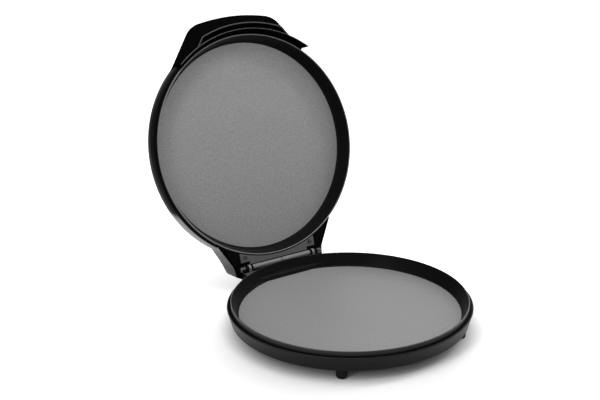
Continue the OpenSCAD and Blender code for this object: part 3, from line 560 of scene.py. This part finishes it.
# the grip: web behind, brim with a round tip, groove, ridge with a round tip, slope
TIP, BEVEL, SIDE_INSET = 0.0006, 0.0004, 0.0008
GROOVE_BEHIND, GROOVE_SIDE, GROOVE_RUN_OUT = 0.0015, 0.0023, 0.0025
grip_turns = np.linspace(-GRIP_TURN, GRIP_TURN, 321)
t = grip_turns[:, None]
slope_z = np.linspace(GRIP_LOW + TIP, GRIP_TOP - 0.0002, 24)[None, :]
slope_r = np.maximum(reach(t, slope_z, SIDE_INSET), BRIM_R)
ridge_r = slope_r[:, :1]
thin = np.cos(np.abs(t) + side_turn)
groove_r = np.clip(np.minimum(RIDGE_R - GROOVE_BEHIND, (SIDE_LOW - GROOVE_SIDE) / thin),
                   BRIM_R, ridge_r)
open_part = np.clip((groove_r - BRIM_R) / GROOVE_RUN_OUT, 0, 1)
open_part = open_part * open_part * (3 - 2 * open_part)
web_z = np.clip(GRIP_LOW + ((WEB_R + 0.0013) * thin - SIDE_LOW + SIDE_INSET)
                * (BROW_TOP - GRIP_LOW) / (SIDE_R - SIDE_LOW), WEB_Z, GRIP_TOP - 0.001)
swing = np.radians(np.linspace(180, 270, 5))[None, :]
rise = np.radians(np.linspace(292, 360, 4))[None, :]
middle = np.minimum((groove_r + ridge_r) / 2, ridge_r - TIP)


def low(z):
    """A height in the groove, sunk to the grip's lower edge where the groove runs out."""
    return GRIP_LOW + open_part * (z - GRIP_LOW)


swing_z, rise_z = GRIP_LOW + TIP + TIP * np.sin(swing), GRIP_LOW + TIP + TIP * np.sin(rise)
grip = carried(
    "grip",
    columns([[WEB_R + 0.0008, WEB_R]], WEB_R + 0 * t, [[WEB_R + 0.0003]],
            [[BRIM_IN_R - BEVEL, BRIM_IN_R]], BRIM_IN_R + TIP + TIP * np.cos(swing) + 0 * t,
            np.minimum(ridge_r - TIP, columns(
                BRIM_R - TIP + TIP * np.cos(rise) + 0 * t, BRIM_R + 0 * t,
                np.minimum(BRIM_R + BEVEL, groove_r), np.maximum(groove_r - BEVEL, BRIM_R),
                groove_r, middle + (middle - groove_r) * np.cos(swing))),
            middle + (ridge_r - middle) * np.cos(rise)[:, :-1], slope_r, [[WEB_R + 0.0012]]),
    columns([[GRIP_TOP - BEVEL, GRIP_TOP - 0.0012]], np.maximum(web_z + BEVEL, WEB_Z), web_z,
            web_z + [[0, -0.0006]], swing_z + 0 * t,
            low(rise_z), low(GROOVE_Z - BEVEL), low(GROOVE_Z), low(GROOVE_Z), low(GROOVE_Z - BEVEL),
            low(swing_z), rise_z[:, :-1] + 0 * t, slope_z + 0 * t, [[GRIP_TOP - 0.0002]]),
    grip_turns, (shaded_slope_black, edge_highlight), np.repeat([0, 1, 0, 1, 0], [6, 8, 5, 8, 25]))
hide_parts("handle_grip")

# ---------------------------------------------------------------- arms and bridge
# Two arms of the shell run back past the hinge and carry the lid, with a solid
# bridge between them behind the bracket. Their outer sides lean out upwards.

ARM_IN, ARM_LOW, ARM_HIGH, ARM_EDGE_R, PAN_CLEAR_R = 0.062, 0.040, 0.059, 0.0009, 0.1556
BRIDGE_HALF, BRIDGE_BACK, BRIDGE_TURN = 0.0625, 0.164, math.radians(24)
BRIDGE_LOW, BRIDGE_HIGH, BRIDGE_EDGE_R = 0.0413, 0.0580, 0.0006
ARM_LINE = np.array([(62, 142.8), (62, 181), (72.5, 175.4), (73, 166), (75.8, 155), (79, 145.5),
                     (83, 137.7), (88, 129.8), (93, 122.5)]) / 1000
ARM_LEAN = np.array([(0, 0), (0, -3), (3.5, -6), (5, -2), (5.2, 0), (6.5, 0), (6.3, 0), (5.5, 0),
                     (6, 0)]) / 1000
CORNER_RUNS = np.array([1.2, 2.5, 4, 4, 4, 4, 4]) / 1000


def eased(points, run):
    """An open line of points with each inner corner rounded: a quadratic curve
    from run before the corner to run after it, or to 0.45 of a shorter side."""
    before, corner, after = points[:-2], points[1:-1], points[2:]
    back, on = np.linalg.norm(before - corner, axis=1), np.linalg.norm(after - corner, axis=1)
    start = corner + (before - corner) * np.minimum(run / back, 0.45)[:, None]
    end = corner + (after - corner) * np.minimum(run / on, 0.45)[:, None]
    u = np.linspace(0, 1, 6)[None, :, None]
    bends = ((1 - u) ** 2 * start[:, None] + 2 * u * (1 - u) * corner[:, None]
             + u ** 2 * end[:, None])
    return np.vstack([points[:1], bends.reshape(-1, 2), points[-1:]])


def round_pan(turn):
    """Points of the circle that clears the pan, at turns about the axis from the rear."""
    return PAN_CLEAR_R * np.c_[np.sin(turn), np.cos(turn)]


def arm_plan(t):
    """Plan of the right arm at level t: each point of the lower outline moved
    t of the way to the upper one, then round the pan at PAN_CLEAR_R."""
    line = eased(ARM_LINE + t * ARM_LEAN, CORNER_RUNS)
    far = np.linalg.norm(line, axis=1)
    line = line * np.maximum(1, PAN_CLEAR_R / far)[:, None]
    turn = np.linspace(math.atan2(*line[-1]), math.asin(ARM_IN / PAN_CLEAR_R), 14)[1:-1]
    return np.vstack([line, round_pan(turn)])


# points of the plan: inner side, back and outer side, curve round the pan
arm_marks = np.repeat([1, 0, 1], [4, 39, 13])
for side, name in ((-1, "arm_left"), (1, "arm_right")):
    arm = prism(name, lambda t: arm_plan(t) * (side, 1), edge_levels(ARM_LOW, ARM_HIGH, ARM_EDGE_R),
                (side_black, shaded_black), opened, body="lid", marks=arm_marks, cap_mark=1)
    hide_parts("lid_housing")

bridge_plan = np.vstack([[(-BRIDGE_HALF, BRIDGE_BACK), (BRIDGE_HALF, BRIDGE_BACK)],
                         round_pan(np.linspace(BRIDGE_TURN, -BRIDGE_TURN, 25))])
bridge_levels = edge_levels(BRIDGE_LOW, BRIDGE_HIGH, BRIDGE_EDGE_R)
bridge = prism("bridge", lambda t: bridge_plan, bridge_levels, (shaded_black,), opened, body="lid")
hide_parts("lid_housing")

# ---------------------------------------------------------------- upper pan
# The lid's own pan, cast and coated like the lower one but three millimetres
# deeper, and hung face down. Its floor is painted darker towards the hinge and
# lighter towards the grip, as painted shade and light.

UPPER_DEPTH, UPPER_RIM_Z, UPPER_LIP_ROWS = 0.021, 0.0395, 8
PAINTED_LIGHT_STEPS = ((0, 0.66), (0.1, 0.68), (0.19, 0.73), (0.26, 0.79), (0.33, 0.97))

# painted highlight on the lid pan's lip, as on the lower pan
lid_lip = shader("painted_highlight_on_lid_lip", (0.10, 0.10, 0.101), 0.3, Specular_IOR_Level=0.6)
speckle(lid_lip, 0.0012, (0.08, 0.08, 0.081), (0.13, 0.13, 0.131), 0.00003, (0.25, 0.36))
# painted sheen on the lid pan's floor, as on the lower pan
lid_grain = shader("grained_lid_floor_painted_sheen", (0.26, 0.26, 0.262), 0.45)
speckle(lid_grain, 0.0016, (0.207, 0.207, 0.209), (0.325, 0.325, 0.328), 0.00008, (0.38, 0.55),
        detail=6.0, cover=(0.3, 0.7))
# painted light and shade: the floor's colour scaled by height, from 0.66 low at the hinge end up to
# 0.97 high towards the grip
tree, surface = lid_grain.node_tree, surface_of(lid_grain)
lit_grain = blended(tree, "MULTIPLY", 1, fed_by(surface, "Base Color"),
                     along(tree, "Z", PAINTED_LIGHT_STEPS))
tree.links.new(lit_grain, surface.inputs["Base Color"])

upper_pan = turned("upper_pan", pan_profile(UPPER_DEPTH) * (1, -1) + (0, UPPER_RIM_Z),
                   (coat_black, lid_grain, lid_lip, coat_outer), closed=False, place=opened,
                   body="lid", marks=pan_marks(UPPER_LIP_ROWS))
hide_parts("upper_baking_pan")

# ---------------------------------------------------------------- inner pieces
# Heating, wiring and fasteners: bought-in parts of steel, ceramic and rubber,
# screwed, clipped or plugged in. They keep the shape they have in the frame.

steel = shader("ground_steel", (0.42, 0.42, 0.43), 0.3, Metallic=1.0)
speckle(steel, 0.0006, (0.36, 0.36, 0.37), (0.48, 0.48, 0.49), 0.00001, (0.24, 0.38))
element_metal = shader("heat_browned_sheath", (0.16, 0.15, 0.145), 0.45, Metallic=1.0)
speckle(element_metal, 0.004, (0.11, 0.10, 0.095), (0.20, 0.19, 0.185), 0.00001, (0.35, 0.55))
bright_sheet = shader("bright_sheet_metal", (0.6, 0.6, 0.61), 0.3, Metallic=1.0)
speckle(bright_sheet, 0.003, (0.54, 0.54, 0.55), (0.66, 0.66, 0.67), 0.00001, (0.22, 0.38))
ceramic = shader("cream_insulator", (0.6, 0.56, 0.46), 0.5)
speckle(ceramic, 0.001, (0.55, 0.51, 0.41), (0.65, 0.61, 0.51), 0.00002, (0.45, 0.6))
red_sleeve = shader("red_silicone_sleeve", (0.42, 0.04, 0.025), 0.5)
speckle(red_sleeve, 0.001, (0.38, 0.035, 0.02), (0.46, 0.05, 0.03), 0.00001, (0.45, 0.6))
red_lens = shader("red_lens", (0.4, 0.02, 0.012), 0.12)
speckle(red_lens, 0.002, (0.36, 0.018, 0.01), (0.44, 0.026, 0.016), 0.0, (0.08, 0.16))

for material, names in (
    (element_metal, "lower_heating_element upper_heating_element"),
    (bright_sheet, "lower_element_clamps upper_element_clamps pan_clips"),
    (bright_sheet, "lower_reflector upper_reflector"),
    (steel, "lower_clamp_screws upper_clamp_screws hinge_plate_screws"),
    (dark_steel, "base_screws handle_screws lid_bracket_screws"),
    (ceramic, "thermostat lid_thermostat thermal_fuse indicator_lamps"),
    (ceramic, "terminal_block lid_connector"),
    (red_sleeve, "base_leads lid_leads"),
    (rubber, "cord_gland"),
    (red_lens, "indicator_lenses"),
):
    for name in names.split():
        nodes[name].data.materials[0] = material

# ---------------------------------------------------------------- room
# A pale seamless floor, a tall soft light on each side, a square one above, and
# a white world. For camera rays the floor glows more the further it lies from a
# spot in front of the machine: painted light that lifts its shadow and runs into
# that white.

ROOM_LIGHT, ROOM_SEEN = 0.45, 1.0
GLOW_SPOT, GLOW_FROM, GLOW_TO, GLOW = (-0.05, -0.08, 0), 0.1, 0.42, 0.8
FLOOR_HALF, FLOOR_GREY = 6, 0.8

for name, place, target, (width, height), power in (
    ("strip_left", (-1.5, -0.5, 1.1), (0, 0.1, 0.15), (0.25, 1.6), 11),
    ("strip_right", (1.6, -0.3, 1.2), (0, 0.1, 0.15), (0.25, 1.6), 13),
    ("soft_top", (-0.1, -0.1, 2.0), (0, 0.1, 0.05), (1.4, 1.4), 24),
):
    lamp = bpy.data.lights.new(name, "AREA")
    lamp.shape, lamp.size, lamp.size_y, lamp.energy = "RECTANGLE", width, height, power
    holder = bpy.data.objects.new(name, lamp)
    holder.matrix_world = Matrix.Translation(place) @ (
        Vector(target) - Vector(place)).to_track_quat("-Z", "Y").to_matrix().to_4x4()
    bpy.context.scene.collection.objects.link(holder)

floor_mesh = bpy.data.meshes.new("floor")
floor_mesh.from_pydata([(-FLOOR_HALF, -FLOOR_HALF, 0), (FLOOR_HALF, -FLOOR_HALF, 0),
                        (FLOOR_HALF, FLOOR_HALF, 0), (-FLOOR_HALF, FLOOR_HALF, 0)],
                       [], [(0, 1, 2, 3)])
floor = bpy.data.objects.new("floor", floor_mesh)
bpy.context.scene.collection.objects.link(floor)
paper = shader("pale_floor", (FLOOR_GREY,) * 3, 0.8)
floor_mesh.materials.append(paper)


def seen_directly(tree):
    """The part of a ray that sees the room itself: 1 for camera, mirror and glass
    rays, 0 for the rays that carry light to surfaces."""
    path = tree.nodes.new("ShaderNodeLightPath")
    mirror = worked(tree, "MAXIMUM", path.outputs["Is Camera Ray"], path.outputs["Is Glossy Ray"])
    return worked(tree, "MAXIMUM", mirror, path.outputs["Is Transmission Ray"])


world = bpy.data.worlds.new("studio")
bpy.context.scene.world = world
world.use_nodes = True
tree = world.node_tree
background = tree.nodes["Background"]
strength = tree.nodes.new("ShaderNodeMapRange")
strength.inputs["To Min"].default_value = ROOM_LIGHT
strength.inputs["To Max"].default_value = ROOM_SEEN
tree.links.new(seen_directly(tree), strength.inputs["Value"])
tree.links.new(strength.outputs["Result"], background.inputs["Strength"])
background.inputs["Color"].default_value = (1, 1, 1, 1)

# painted light: the floor's glow, seen only by camera, mirror and glass rays, grows from GLOW_FROM
# to GLOW_TO away from GLOW_SPOT and lightens the shadow there
tree, surface = paper.node_tree, surface_of(paper)
spread = tree.nodes.new("ShaderNodeMapRange")
spread.interpolation_type = "SMOOTHSTEP"
spread.inputs["From Min"].default_value = GLOW_FROM
spread.inputs["From Max"].default_value = GLOW_TO
spread.inputs["To Max"].default_value = GLOW
tree.links.new(away_from(tree, GLOW_SPOT, (1, 1, 1)), spread.inputs["Value"])
glow = worked(tree, "MULTIPLY", spread.outputs["Result"], seen_directly(tree))
surface.inputs["Emission Color"].default_value = (1, 1, 1, 1)
tree.links.new(glow, surface.inputs["Emission Strength"])
